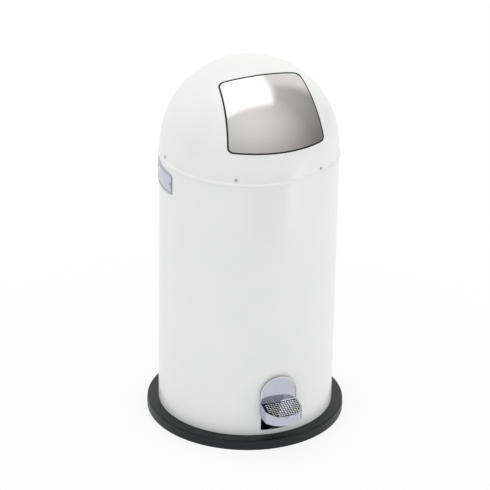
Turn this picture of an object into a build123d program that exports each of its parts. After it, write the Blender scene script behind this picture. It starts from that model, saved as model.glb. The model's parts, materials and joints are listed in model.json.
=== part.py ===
from build123d import *
import math
import os

os.makedirs("parts", exist_ok=True)

# Step trash can with a domed hood and an inward flap.
# The bin stands on z = 0, its axis is the z axis and its front faces -y.
# All sizes are millimetres.

# Overall shape
overall_height = 755.0
body_radius = 177.0
sheet = 1.0
hood_step = 1.0
hood_skirt = 18.0
hem_height = 7.0
hem_proud = 3.0
rim_fold_height = 10.0
rim_fold = 1.0

# Clearances
running = 0.05
seat_gap = 0.3
slip = 0.5
sheet_fit = 0.1

# Floor ring and floor plate
ring_reach = 23.0
ring_height = 22.0
ring_tuck = 19.0
ring_edge_round = 4.0
ring_foot_chamfer = 1.5
ring_groove_floor = 8.0
floor_plate_thickness = 1.5
floor_flange_height = 14.0

# Pedal slot in the body
slot_width = 70.0
slot_bottom_z = 32.0
slot_top_z = 106.0

# Flap opening, drawn square to a line that rises from the dome centre
opening_tilt = 36.0
opening_top_inset = 76.0
opening_top_half_width = 85.0
opening_bottom_half_width = 101.0
opening_bottom_corner = -43.0
opening_bottom_middle = -63.0
opening_corner = 14.0

# Flap
flap_gap = 3.0
flap_skin = 1.0
flap_rim_width = 2.4
flap_rim_depth = 7.0
flap_edge_round = 1.0
flap_axle_y = -22.0
flap_axle_drop = 28.0
flap_axle_radius = 4.0
flap_axle_length = 136.0
flap_arm_x = 46.0
flap_arm_thickness = 3.0
flap_arm_depth = 15.0
flap_arm_low = 22.0
flap_arm_high = 60.0
hub_radius = 8.0
crank_drop = 40.0
crank_length = 85.0
crank_height = 8.0
crank_width = 10.0
tab_latitude = 33.0
tab_height = 14.0
tab_thickness = 2.0
tab_reach = 11.0
buffer_radius = 4.0
hinge_bracket_x = 58.0
hinge_bracket_thickness = 3.0
hinge_bracket_width = 36.0
clip_radius = 6.5
clip_thickness = 1.2
flap_spring_turns = 5
flap_spring_wire = 1.6
flap_spring_start_x = 16.0
flap_spring_tail = 22.0

# Hood collar, rivets and push rod
collar_thickness = 1.2
collar_drop = 15.0
collar_rise = 20.0
hood_rivet_count = 6
hood_rivet_rise = 13.0
hood_rivet_start = 30.0
rivet_shank = 1.6
rivet_head = 3.2
rivet_head_height = 1.3
rivet_head_taper = 20.0
push_rod_y = 38.0
push_rod_radius = 4.0
push_rod_tip = 7.0
push_foot_width = 16.0
push_foot_thickness = 5.0
push_foot_drop = 4.0
push_foot_end = 5.0
guide_tube_radius = 8.0
guide_tube_length = 30.0
guide_tube_head_gap = 3.6
guide_arm_width = 20.0
guide_arm_thickness = 4.0

# Name plate, left bare
name_plate_angle = 97.0
name_plate_half_angle = 18.0
name_plate_drop = 15.0
name_plate_height = 39.0
name_plate_bulge = 4.0
name_plate_thickness = 1.6
name_plate_corner = 3.0
name_rivet_inset_angle = 2.4

# Pedal
pedal_axle_inset = 72.0
pedal_axle_z = 50.0
pedal_axle_radius = 4.0
pedal_hub_length = 36.0
ear_thickness = 3.0
ear_width = 26.0
ear_foot_length = 40.0
bracket_foot_width = 16.0
lever_width = 14.0
lever_height = 12.0
lever_front_rise = 26.0
pedal_plate_gap = 4.5
pedal_plate_thickness = 2.0
pedal_half_width = 38.5
pedal_plate_top_z = 151.0
pedal_bottom_z = 66.0
pedal_rim_width = 2.0
pedal_rim_proud = 1.0
tread_back_z = 95.5
tread_slope = 12.5
tread_side_length = 24.0
tread_arc_depth = 24.0
tread_thickness = 2.0
skirt_wall = 1.6
tread_pad_margin = 4.0
tread_pad_thickness = 0.8
stud_pitch = 5.2
stud_size = 3.4
stud_height = 0.9
stud_taper = 40.0
stud_turn = 45.0
return_spring_radius = 8.0
return_spring_wire = 2.0
return_spring_turns = 6
return_spring_reach = 33.0
spring_seat_height = 2.0
rest_buffer_inset = 42.0
rest_buffer_radius = 9.0

# Lift rod and its guides
lift_rod_inset = 14.0
lift_rod_radius = 4.0
rod_foot_radius = 6.0
rod_foot_height = 12.0
rod_cap_radius = 6.0
rod_cap_height = 6.0
lower_guide_z = 165.0
guide_bracket_width = 24.0
guide_bracket_thickness = 2.0
guide_bracket_height = 26.0
bush_wall = 1.6
bush_height = 8.0
bush_flange = 1.2

# Liner and its bail
liner_top_drop = 25.0
liner_bottom_z = 96.0
liner_side_gap = 28.0
liner_taper = 10.0
liner_wall = 0.8
liner_rim_radius = 3.5
seat_ring_thickness = 1.5
seat_ring_flange = 12.0
bail_drop = 16.0
bail_wire = 2.5
bail_inset = 21.0
bail_corner = 6.0
grip_angle = 30.0
grip_radius = 6.0
bail_ear_size = 16.0
bail_ear_depth = 12.0

# Places worked out from the sizes above
body_inner = body_radius - sheet
hood_radius = body_radius - hood_step
hood_inner = hood_radius - sheet
dome_z = overall_height - hood_radius
hood_edge_z = dome_z - hood_skirt
hood_rivet_z = hood_edge_z + hood_rivet_rise
ring_radius = body_radius + ring_reach
ring_inner_radius = body_radius - ring_tuck
opening_top = hood_radius - opening_top_inset
name_plate_top_z = hood_edge_z - name_plate_drop
name_plate_bottom_z = name_plate_top_z - name_plate_height
liner_top_z = hood_edge_z - liner_top_drop
liner_top_radius = body_inner - liner_side_gap
liner_bottom_radius = liner_top_radius - liner_taper
bail_radius = liner_top_radius - bail_inset
lift_rod_y = body_inner - lift_rod_inset
rest_buffer_y = lift_rod_y - rest_buffer_inset
pedal_axle_y = pedal_axle_inset - body_radius
return_spring_y = pedal_axle_y - return_spring_reach
body_top_z = hood_edge_z - seat_gap
floor_top_z = ring_groove_floor + floor_plate_thickness
flap_axle_z = overall_height - flap_axle_drop
flap_spring_radius = flap_axle_radius + seat_gap + flap_spring_wire / 2
push_foot_z = hood_edge_z - push_foot_drop
rod_cap_top_z = push_foot_z - seat_gap
pedal_plate_inner = body_radius + pedal_plate_gap
pedal_plate_outer = pedal_plate_inner + pedal_plate_thickness


def biarc_path(points, tangents):
    """Two tangent arcs between each pair of points, each leaving along its tangent."""
    for start, end, leave, arrive in zip(points, points[1:], tangents, tangents[1:]):
        chord = end - start
        both = leave + arrive
        turn = 2.0 * (1.0 - leave.dot(arrive))
        along = chord.dot(both)
        reach = (math.sqrt(along * along + turn * chord.dot(chord)) - along) / turn
        first = start + leave * reach
        second = end - arrive * reach
        joint = (first + second) * 0.5
        TangentArc(start, joint, tangent=leave)
        TangentArc(joint, end, tangent=second - first)


def helix_points(radius, pitch, turns, quarters=4):
    """Points and tangents of a helix about z, starting on the x axis at z = 0."""
    points = []
    tangents = []
    for step in range(turns * quarters + 1):
        angle = 2.0 * math.pi * step / quarters
        points.append(Vector(radius * math.cos(angle), radius * math.sin(angle), pitch * step / quarters))
        run = Vector(-radius * math.sin(angle), radius * math.cos(angle), pitch / (2.0 * math.pi))
        tangents.append(run.normalized())
    return points, tangents


def least_coil_gap(pitch, wire):
    """Clear space between one turn and the next."""
    return pitch - wire


def opening_outline():
    """The flap opening's outline, wider at the foot, with a bowed lower edge."""
    with BuildSketch() as outline:
        with BuildLine():
            Line((opening_bottom_half_width, opening_bottom_corner), (opening_top_half_width, opening_top))
            Line((opening_top_half_width, opening_top), (-opening_top_half_width, opening_top))
            Line(
                (-opening_top_half_width, opening_top), (-opening_bottom_half_width, opening_bottom_corner)
            )
            ThreePointArc(
                (-opening_bottom_half_width, opening_bottom_corner),
                (0.0, opening_bottom_middle),
                (opening_bottom_half_width, opening_bottom_corner),
            )
        make_face()
    return outline.sketch


tilt = math.radians(opening_tilt)
opening_plane = Plane(origin=(0, 0, dome_z), x_dir=(1, 0, 0), z_dir=(0, -math.cos(tilt), math.sin(tilt)))


def dome_shell(outer, inner):
    """A hollow ball about the dome's centre, as a private solid."""
    ball = Sphere(outer, mode=Mode.PRIVATE) - Sphere(inner, mode=Mode.PRIVATE)
    return Pos(0, 0, dome_z) * ball


def ring_at(radius, angles, z):
    """Planes that face outwards on the bin's wall, one for each angle from the front."""
    planes = []
    for angle in angles:
        turn = math.radians(angle)
        out = Vector(math.sin(turn), -math.cos(turn), 0)
        planes.append(Plane(origin=out * radius + Vector(0, 0, z), x_dir=Vector(0, 0, 1), z_dir=out))
    return planes


# Floor ring, with the groove that the body stands in
with BuildPart() as base_ring:
    with BuildSketch(Plane.XZ):
        with BuildLine():
            Polyline(
                (ring_inner_radius, 0),
                (ring_radius, 0),
                (ring_radius, ring_height),
                (body_radius + sheet_fit, ring_height),
                (body_radius + sheet_fit, ring_groove_floor),
                (ring_inner_radius, ring_groove_floor),
                close=True,
            )
        make_face()
        outer_corners = vertices().group_by(Axis.X)[-1]
        fillet(outer_corners.sort_by(Axis.Y)[-1], ring_edge_round)
        fillet(vertices().group_by(Axis.X)[-1].sort_by(Axis.Y)[0], ring_foot_chamfer)
    revolve(axis=Axis.Z)
base_ring.part.label = "base_ring"

# Floor plate: a dished steel disc with a flange up the inside of the body
floor_radius = body_inner - sheet_fit
with BuildPart() as floor_plate:
    with BuildSketch(Plane.XY.offset(ring_groove_floor)):
        Circle(floor_radius)
    extrude(amount=floor_flange_height)
    with BuildSketch(Plane.XY.offset(floor_top_z)):
        Circle(floor_radius - floor_plate_thickness)
    extrude(amount=floor_flange_height, mode=Mode.SUBTRACT)
floor_plate.part.label = "floor_plate"

# Body shell with its folded top edge, from the pedal slot's head up
with BuildPart() as body_shell:
    with BuildSketch(Plane.XZ):
        with BuildLine():
            Polyline(
                (body_inner, slot_top_z),
                (body_radius, slot_top_z),
                (body_radius, body_top_z),
                (body_inner - rim_fold, body_top_z),
                (body_inner - rim_fold, body_top_z - rim_fold_height),
                (body_inner, body_top_z - rim_fold_height),
                close=True,
            )
        make_face()
    revolve(axis=Axis.Z)
body_shell.part.label = "body_shell"

# Foot of the body, open at the front for the pedal
with BuildPart() as body_foot:
    with BuildSketch(Plane.XY.offset(ring_groove_floor)):
        Circle(body_radius)
        Circle(body_inner, mode=Mode.SUBTRACT)
        with Locations((0, -body_radius)):
            Rectangle(slot_width, body_radius, mode=Mode.SUBTRACT)
    extrude(amount=slot_top_z - ring_groove_floor)
body_foot.part.label = "body_foot"

# Sill that closes the pedal slot at the bottom
with BuildPart() as slot_sill:
    with BuildSketch(Plane.XY.offset(ring_groove_floor)):
        Circle(body_radius)
        Circle(body_inner, mode=Mode.SUBTRACT)
        with Locations((0, -body_radius)):
            Rectangle(slot_width, body_radius, mode=Mode.INTERSECT)
    extrude(amount=slot_bottom_z - ring_groove_floor)
slot_sill.part.label = "slot_sill"

# Liner seat: an angle ring inside the body, drilled for the lift rod's bush
seat_z = liner_top_z - 2 * liner_rim_radius - seat_ring_thickness - seat_gap
seat_inner = liner_top_radius + slip
bush_outer = lift_rod_radius + running + bush_wall
with BuildPart() as liner_seat_ring:
    with BuildSketch(Plane.XZ):
        with BuildLine():
            Polyline(
                (seat_inner, seat_z),
                (body_inner - sheet_fit - seat_ring_thickness, seat_z),
                (body_inner - sheet_fit - seat_ring_thickness, seat_z - seat_ring_flange),
                (body_inner - sheet_fit, seat_z - seat_ring_flange),
                (body_inner - sheet_fit, seat_z + seat_ring_thickness),
                (seat_inner, seat_z + seat_ring_thickness),
                close=True,
            )
        make_face()
    revolve(axis=Axis.Z)
    with BuildSketch(Plane.XY.offset(seat_z)):
        with Locations((0, lift_rod_y)):
            Circle(bush_outer + running)
    extrude(amount=seat_ring_thickness, mode=Mode.SUBTRACT)
liner_seat_ring.part.label = "liner_seat_ring"


def rod_bush(z):
    """A flanged plastic bush for the lift rod, its flange resting on a plate whose top is at z."""
    with BuildPart() as bush:
        with BuildSketch(Plane.XY.offset(z - bush_height + bush_flange)):
            with Locations((0, lift_rod_y)):
                Circle(bush_outer)
        extrude(amount=bush_height)
        with BuildSketch(Plane.XY.offset(z)):
            with Locations((0, lift_rod_y)):
                Circle(bush_outer + bush_wall)
        extrude(amount=bush_flange)
        with BuildSketch(Plane.XY.offset(z - bush_height)):
            with Locations((0, lift_rod_y)):
                Circle(lift_rod_radius + running)
        extrude(amount=2 * bush_height, mode=Mode.SUBTRACT)
    return bush.part


upper_rod_bush = rod_bush(seat_z + seat_ring_thickness)
upper_rod_bush.label = "upper_rod_bush"

# Lower guide: an L bracket on the body's rear wall
guide_wall = body_inner - sheet_fit
with BuildPart() as rod_guide_bracket:
    with BuildSketch(Plane.XY.offset(lower_guide_z - guide_bracket_thickness)):
        Circle(guide_wall)
        with Locations((0, lift_rod_y)):
            Rectangle(guide_bracket_width, guide_bracket_width + 2 * slip, mode=Mode.INTERSECT)
    extrude(amount=guide_bracket_thickness)
    with BuildSketch(Plane.XY.offset(lower_guide_z - guide_bracket_thickness)):
        with Locations((0, lift_rod_y)):
            Circle(bush_outer + running)
    extrude(amount=guide_bracket_thickness, mode=Mode.SUBTRACT)
    with BuildSketch(Plane.XY.offset(lower_guide_z - guide_bracket_thickness)):
        Circle(guide_wall)
        Circle(guide_wall - guide_bracket_thickness, mode=Mode.SUBTRACT)
        with Locations((0, guide_wall)):
            Rectangle(guide_bracket_width, guide_bracket_width, mode=Mode.INTERSECT)
    extrude(amount=guide_bracket_height)
rod_guide_bracket.part.label = "rod_guide_bracket"

lower_rod_bush = rod_bush(lower_guide_z)
lower_rod_bush.label = "lower_rod_bush"

# Name plate: a bare curved plate with bowed edges on the body's left side
name_plate_radius = body_radius + sheet_fit
name_plate_half = (name_plate_radius + name_plate_thickness) * math.sin(math.radians(name_plate_half_angle))
name_plate_half_height = (name_plate_top_z - name_plate_bottom_z) / 2
name_centre = ring_at(0, [-name_plate_angle], (name_plate_top_z + name_plate_bottom_z) / 2)[0]
name_plane = Plane(origin=name_centre.origin, x_dir=name_centre.y_dir, z_dir=name_centre.z_dir)
with BuildPart() as name_plate:
    with BuildSketch(name_plane):
        with BuildLine():
            ThreePointArc(
                (-name_plate_half, name_plate_half_height),
                (0, name_plate_half_height + name_plate_bulge),
                (name_plate_half, name_plate_half_height),
            )
            Line((name_plate_half, name_plate_half_height), (name_plate_half, -name_plate_half_height))
            ThreePointArc(
                (name_plate_half, -name_plate_half_height),
                (0, -name_plate_half_height - name_plate_bulge),
                (-name_plate_half, -name_plate_half_height),
            )
            Line((-name_plate_half, -name_plate_half_height), (-name_plate_half, name_plate_half_height))
        make_face()
        fillet(vertices(), name_plate_corner)
    extrude(amount=ring_radius)
    with BuildSketch(Plane.XY):
        Circle(name_plate_radius + name_plate_thickness)
        Circle(name_plate_radius, mode=Mode.SUBTRACT)
    extrude(amount=overall_height, mode=Mode.INTERSECT)
name_plate.part.label = "name_plate"

name_rivet_angles = [
    -name_plate_angle - name_plate_half_angle + name_rivet_inset_angle,
    -name_plate_angle + name_plate_half_angle - name_rivet_inset_angle,
]
name_rivet_z = (name_plate_top_z + name_plate_bottom_z) / 2
with BuildPart() as name_plate_rivets:
    for plane in ring_at(name_plate_radius + name_plate_thickness, name_rivet_angles, name_rivet_z):
        with BuildSketch(plane):
            Circle(rivet_head)
        extrude(amount=rivet_head_height)
    rivet_edges = name_plate_rivets.faces().filter_by(GeomType.PLANE).edges()
    fillet(rivet_edges.group_by(SortBy.RADIUS)[-1], sheet / 2)
name_plate_rivets.part.label = "name_plate_rivets"

# Pedal bracket: two ears on feet that are fixed to the floor plate
ear_x = pedal_hub_length / 2 + slip
with BuildPart() as pedal_bracket:
    for side in (-1, 1):
        with BuildSketch(Plane.YZ.offset(side * (ear_x + ear_thickness / 2))):
            with Locations((pedal_axle_y, (floor_top_z + pedal_axle_z) / 2)):
                Rectangle(ear_width, pedal_axle_z - floor_top_z)
            with Locations((pedal_axle_y, pedal_axle_z)):
                Circle(ear_width / 2)
        extrude(amount=ear_thickness / 2, both=True)
        with BuildSketch(Plane.XY.offset(floor_top_z)):
            with Locations((side * (ear_x + bracket_foot_width / 2), pedal_axle_y)):
                Rectangle(bracket_foot_width, ear_foot_length)
        extrude(amount=ear_thickness)
    with BuildSketch(Plane.XY.offset(floor_top_z)):
        with Locations((0, pedal_axle_y + ear_width / 2)):
            Rectangle(2 * ear_x, ear_foot_length - ear_width)
    extrude(amount=ear_thickness)
    with BuildSketch(Plane.YZ):
        with Locations((pedal_axle_y, pedal_axle_z)):
            Circle(pedal_axle_radius + running)
    extrude(amount=ring_radius, both=True, mode=Mode.SUBTRACT)
pedal_bracket.part.label = "pedal_bracket"

pedal_axle_end = ear_x + ear_thickness + slip
with BuildPart() as pedal_axle:
    with BuildSketch(Plane.YZ):
        with Locations((pedal_axle_y, pedal_axle_z)):
            Circle(pedal_axle_radius)
    extrude(amount=pedal_axle_end + 2 * clip_thickness, both=True)
pedal_axle.part.label = "pedal_axle"

with BuildPart() as pedal_axle_clips:
    for side in (-1, 1):
        with BuildSketch(Plane.YZ.offset(side * (pedal_axle_end + clip_thickness / 2))):
            with Locations((pedal_axle_y, pedal_axle_z)):
                Circle(clip_radius)
                Circle(pedal_axle_radius + running, mode=Mode.SUBTRACT)
        extrude(amount=clip_thickness / 2, both=True)
pedal_axle_clips.part.label = "pedal_axle_clips"

# Pedal lever: from behind the pedal plate, over the axle, back to the lift rod
lever_back_z = floor_top_z + 2 * lever_height
lever_back_y = lift_rod_y + rod_foot_radius
lever_front_z = pedal_axle_z + lever_front_rise
with BuildPart() as pedal_lever:
    with BuildSketch(Plane.YZ):
        with BuildLine():
            Polyline(
                (lever_back_y, lever_back_z - lever_height),
                (lever_back_y, lever_back_z),
                (lift_rod_y - 2 * rod_foot_radius, lever_back_z),
                (pedal_axle_y, pedal_axle_z + lever_height / 2),
                (-pedal_plate_inner - sheet, lever_front_z + lever_height / 2),
                (-pedal_plate_inner - sheet, lever_front_z - lever_height / 2),
                (pedal_axle_y, pedal_axle_z - lever_height / 2),
                (lift_rod_y - 2 * rod_foot_radius, lever_back_z - lever_height),
                close=True,
            )
        make_face()
    extrude(amount=lever_width / 2, both=True)
    with BuildSketch(Plane.YZ):
        with Locations((pedal_axle_y, pedal_axle_z)):
            Circle(pedal_axle_radius + lever_height / 2)
    extrude(amount=pedal_hub_length / 2, both=True)
    with BuildSketch(Plane.XY):
        Circle(pedal_plate_inner - sheet_fit)
    extrude(amount=overall_height, mode=Mode.INTERSECT)
    with BuildSketch(Plane.YZ):
        with Locations((pedal_axle_y, pedal_axle_z)):
            Circle(pedal_axle_radius + running)
    extrude(amount=ring_radius, both=True, mode=Mode.SUBTRACT)
pedal_lever.part.label = "pedal_lever"


def pedal_outline(inset):
    """The arched plate's outline seen from the front."""
    half = pedal_half_width - inset
    foot = pedal_bottom_z + inset
    with BuildSketch() as outline:
        with BuildLine():
            Polyline(
                (-half, pedal_plate_top_z - pedal_half_width),
                (-half, foot),
                (half, foot),
                (half, pedal_plate_top_z - pedal_half_width),
            )
            ThreePointArc(
                (half, pedal_plate_top_z - pedal_half_width),
                (0, pedal_plate_top_z - inset),
                (-half, pedal_plate_top_z - pedal_half_width),
            )
        make_face()
    return outline.sketch


# Pedal plate: a mirror-bright arch that covers the slot, with a raised rim
with BuildPart() as pedal_plate:
    with BuildSketch(Plane.XZ):
        add(pedal_outline(0))
    extrude(amount=2 * ring_radius)
    with BuildSketch(Plane.XY):
        Circle(pedal_plate_outer)
        Circle(pedal_plate_inner, mode=Mode.SUBTRACT)
    extrude(amount=overall_height, mode=Mode.INTERSECT)
pedal_plate.part.label = "pedal_plate"

with BuildPart() as pedal_plate_rim:
    with BuildSketch(Plane.XZ):
        add(pedal_outline(0))
    extrude(amount=2 * ring_radius)
    with BuildSketch(Plane.XZ):
        add(pedal_outline(pedal_rim_width))
    extrude(amount=2 * ring_radius, mode=Mode.SUBTRACT)
    with BuildSketch(Plane.XZ):
        with Locations((0, tread_back_z / 2)):
            Rectangle(4 * pedal_half_width, tread_back_z + 2 * pedal_rim_width)
    extrude(amount=2 * ring_radius, mode=Mode.SUBTRACT)
    with BuildSketch(Plane.XY):
        Circle(pedal_plate_outer + pedal_rim_proud)
        Circle(pedal_plate_outer, mode=Mode.SUBTRACT)
    extrude(amount=overall_height, mode=Mode.INTERSECT)
pedal_plate_rim.part.label = "pedal_plate_rim"

# Tread and skirt: one pressed D-shaped cap in front of the plate
slope = math.radians(tread_slope)
tread_plane = Plane(
    origin=(0, -pedal_plate_outer, tread_back_z),
    x_dir=(1, 0, 0),
    z_dir=(0, -math.sin(slope), math.cos(slope)),
)


def tread_outline(inset):
    """The D-shaped outline seen from above, running back into the plate."""
    half = pedal_half_width - inset
    side_y = -pedal_plate_outer - tread_side_length
    with BuildSketch() as outline:
        with BuildLine():
            Polyline((-half, side_y), (-half, -body_radius / 2), (half, -body_radius / 2), (half, side_y))
            ThreePointArc((half, side_y), (0, side_y - tread_arc_depth + inset), (-half, side_y))
        make_face()
    return outline.sketch


with BuildPart() as tread_room:
    with BuildSketch(Plane.XY.offset(pedal_bottom_z)):
        add(tread_outline(skirt_wall))
    extrude(amount=pedal_plate_top_z)
    split(bisect_by=tread_plane.offset(-tread_thickness), keep=Keep.BOTTOM)

with BuildPart() as pedal_tread:
    with BuildSketch(Plane.XY.offset(pedal_bottom_z)):
        add(tread_outline(0))
    extrude(amount=pedal_plate_top_z)
    split(bisect_by=tread_plane, keep=Keep.BOTTOM)
    top_rim = pedal_tread.faces().sort_by(Axis.Z)[-1].edges()
    fillet(top_rim.filter_by(lambda edge: edge.center().Y < -pedal_plate_outer), skirt_wall / 2)
    add(tread_room.part, mode=Mode.SUBTRACT)
    with BuildSketch(Plane.XY):
        Circle(pedal_plate_outer + running)
    extrude(amount=overall_height, mode=Mode.SUBTRACT)
pedal_tread.part.label = "pedal_tread"

# Studded pad stamped on the tread
with BuildPart() as tread_pad:
    with BuildSketch(Plane.XY.offset(pedal_bottom_z)):
        add(tread_outline(tread_pad_margin))
    extrude(amount=pedal_plate_top_z)
    split(bisect_by=tread_plane.offset(tread_pad_thickness), keep=Keep.BOTTOM)
    split(bisect_by=tread_plane.offset(seat_gap / 10), keep=Keep.TOP)
    with BuildSketch(Plane.XY):
        Circle(pedal_plate_outer + pedal_rim_proud)
    extrude(amount=overall_height, mode=Mode.SUBTRACT)
    stud_count_x = int(2 * (pedal_half_width - tread_pad_margin) / stud_pitch)
    stud_count_y = int((tread_side_length + tread_arc_depth - tread_pad_margin) / stud_pitch)
    stud_places = []
    for across in range(stud_count_x):
        for along in range(stud_count_y):
            x = (across - (stud_count_x - 1) / 2) * stud_pitch
            y = -(along + 1) * stud_pitch
            past_side = max(-y - tread_side_length, 0)
            reach = math.hypot(x / pedal_half_width, past_side / tread_arc_depth)
            if reach < 1.0 - (tread_pad_margin + stud_size / 2) / pedal_half_width:
                stud_places.append((x, y))
    with BuildSketch(tread_plane.offset(tread_pad_thickness)):
        with Locations(stud_places):
            Rectangle(stud_size, stud_size, rotation=stud_turn)
    extrude(amount=stud_height, taper=stud_taper)
tread_pad.part.label = "tread_pad"

# Return spring under the lever's front, on a seat with a stub
lever_slope = lever_front_rise / (pedal_plate_inner + pedal_axle_y)
spring_foot_z = floor_top_z + spring_seat_height
spring_reach = -return_spring_y + pedal_axle_y - return_spring_radius - return_spring_wire
spring_head_z = pedal_axle_z - lever_height / 2 + lever_slope * spring_reach - slip
with BuildPart() as spring_seat:
    with BuildSketch(Plane.XY.offset(floor_top_z)):
        with Locations((0, return_spring_y)):
            Circle(return_spring_radius + return_spring_wire)
    extrude(amount=spring_seat_height)
    with BuildSketch(Plane.XY.offset(spring_foot_z)):
        with Locations((0, return_spring_y)):
            Circle(return_spring_radius - return_spring_wire)
    extrude(amount=2 * return_spring_wire)
spring_seat.part.label = "spring_seat"

spring_pitch = (spring_head_z - spring_foot_z - return_spring_wire - 2 * seat_gap) / return_spring_turns
spring_points, spring_tangents = helix_points(return_spring_radius, spring_pitch, return_spring_turns)
spring_base = Vector(0, return_spring_y, spring_foot_z + return_spring_wire / 2 + seat_gap)
spring_points = [point + spring_base for point in spring_points]
with BuildPart() as return_spring:
    with BuildLine() as spring_path:
        biarc_path(spring_points, spring_tangents)
    with BuildSketch(Plane(origin=spring_points[0], z_dir=spring_tangents[0])):
        Circle(return_spring_wire / 2)
    sweep(path=spring_path.line)
return_spring.part.label = "return_spring"
print("return spring least gap", least_coil_gap(spring_pitch, return_spring_wire))

# Rubber rest under the lever's rear arm
lever_run = lift_rod_y - 2 * rod_foot_radius - pedal_axle_y
lever_fall = (pedal_axle_z + lever_height / 2 - lever_back_z) / lever_run
rest_reach = rest_buffer_y + rest_buffer_radius - pedal_axle_y
rest_top_z = pedal_axle_z - lever_height / 2 - lever_fall * rest_reach - seat_gap
with BuildPart() as lever_rest:
    with BuildSketch(Plane.XY.offset(floor_top_z)):
        with Locations((0, rest_buffer_y)):
            Circle(rest_buffer_radius)
    extrude(amount=rest_top_z - floor_top_z)
    fillet(lever_rest.faces().sort_by(Axis.Z)[-1].edges(), sheet)
lever_rest.part.label = "lever_rest"

# Lift rod with a round foot and a cap
rod_foot_z = lever_back_z + seat_gap
rod_bottom_z = rod_foot_z + rod_foot_radius
rod_cap_z = rod_cap_top_z - rod_cap_height
with BuildPart() as lift_rod:
    with BuildSketch(Plane.XY.offset(rod_bottom_z)):
        with Locations((0, lift_rod_y)):
            Circle(lift_rod_radius)
    extrude(amount=rod_cap_z + rod_cap_height / 2 - rod_bottom_z)
lift_rod.part.label = "lift_rod"

with BuildPart() as rod_foot:
    with Locations((0, lift_rod_y, rod_bottom_z)):
        Sphere(rod_foot_radius)
    with BuildSketch(Plane.XY.offset(rod_bottom_z)):
        with Locations((0, lift_rod_y)):
            Circle(rod_foot_radius)
    extrude(amount=rod_foot_height)
    with BuildSketch(Plane.XY.offset(rod_bottom_z)):
        with Locations((0, lift_rod_y)):
            Circle(lift_rod_radius)
    extrude(amount=rod_foot_height, mode=Mode.SUBTRACT)
rod_foot.part.label = "rod_foot"

with BuildPart() as rod_cap:
    with BuildSketch(Plane.XY.offset(rod_cap_z)):
        with Locations((0, lift_rod_y)):
            Circle(rod_cap_radius)
    extrude(amount=rod_cap_height)
    fillet(rod_cap.faces().sort_by(Axis.Z)[-1].edges(), sheet)
    with BuildSketch(Plane.XY.offset(rod_cap_z)):
        with Locations((0, lift_rod_y)):
            Circle(lift_rod_radius)
    extrude(amount=rod_cap_height / 2, mode=Mode.SUBTRACT)
rod_cap.part.label = "rod_cap"

# Liner bucket with a rolled rim that hangs on the seat ring
with BuildPart() as liner_bucket:
    with BuildSketch(Plane.XZ):
        with BuildLine():
            Polyline(
                (0, liner_bottom_z),
                (liner_bottom_radius, liner_bottom_z),
                (liner_top_radius, liner_top_z - liner_rim_radius),
                (liner_top_radius - liner_wall, liner_top_z - liner_rim_radius),
                (liner_bottom_radius - liner_wall, liner_bottom_z + liner_wall),
                (0, liner_bottom_z + liner_wall),
                close=True,
            )
        make_face()
        with Locations((liner_top_radius + liner_rim_radius - liner_wall, liner_top_z - liner_rim_radius)):
            Circle(liner_rim_radius)
    revolve(axis=Axis.Z)
liner_bucket.part.label = "liner_bucket"

# Bail ears inside the liner, and the bail lying down towards the front
bail_z = liner_top_z - bail_drop
ear_wall = liner_bottom_radius + (liner_top_radius - liner_bottom_radius) * (
    (bail_z - bail_ear_size / 2 - liner_bottom_z) / (liner_top_z - liner_rim_radius - liner_bottom_z)
)
ear_outer = ear_wall - liner_wall - sheet_fit
with BuildPart() as bail_ears:
    with BuildSketch(Plane.XY.offset(bail_z - bail_ear_size / 2)):
        Circle(ear_outer)
        Rectangle(2 * ear_outer, bail_ear_size, mode=Mode.INTERSECT)
        Rectangle(2 * (ear_outer - bail_ear_depth), 2 * bail_ear_size, mode=Mode.SUBTRACT)
    extrude(amount=bail_ear_size)
    with BuildSketch(Plane.YZ):
        with Locations((0, bail_z)):
            Circle(bail_wire + running)
    extrude(amount=ring_radius, both=True, mode=Mode.SUBTRACT)
bail_ears.part.label = "bail_ears"

bail_end = ear_outer - 3 * slip
with BuildPart() as bail:
    with BuildLine(Plane.XY.offset(bail_z)) as bail_path:
        Line((-bail_end, 0), (-bail_radius - bail_corner, 0))
        RadiusArc((-bail_radius - bail_corner, 0), (-bail_radius, -bail_corner), bail_corner)
        ThreePointArc(
            (-bail_radius, -bail_corner), (0, -bail_radius - bail_corner), (bail_radius, -bail_corner)
        )
        RadiusArc((bail_radius, -bail_corner), (bail_radius + bail_corner, 0), bail_corner)
        Line((bail_radius + bail_corner, 0), (bail_end, 0))
    with BuildSketch(Plane(origin=(-bail_end, 0, bail_z), z_dir=(1, 0, 0))):
        Circle(bail_wire)
    sweep(path=bail_path.line)
bail.part.label = "bail"

grip_axis = Axis((0, -bail_corner, 0), (0, 0, 1))
with BuildPart() as bail_grip:
    with BuildSketch(Plane.YZ):
        with Locations((-bail_radius - bail_corner, bail_z)):
            Circle(grip_radius)
            Circle(bail_wire + sheet_fit, mode=Mode.SUBTRACT)
    revolve(axis=grip_axis, revolution_arc=grip_angle)
bail_grip.part = bail_grip.part.rotate(grip_axis, -grip_angle / 2)
bail_grip.part.label = "bail_grip"

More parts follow.
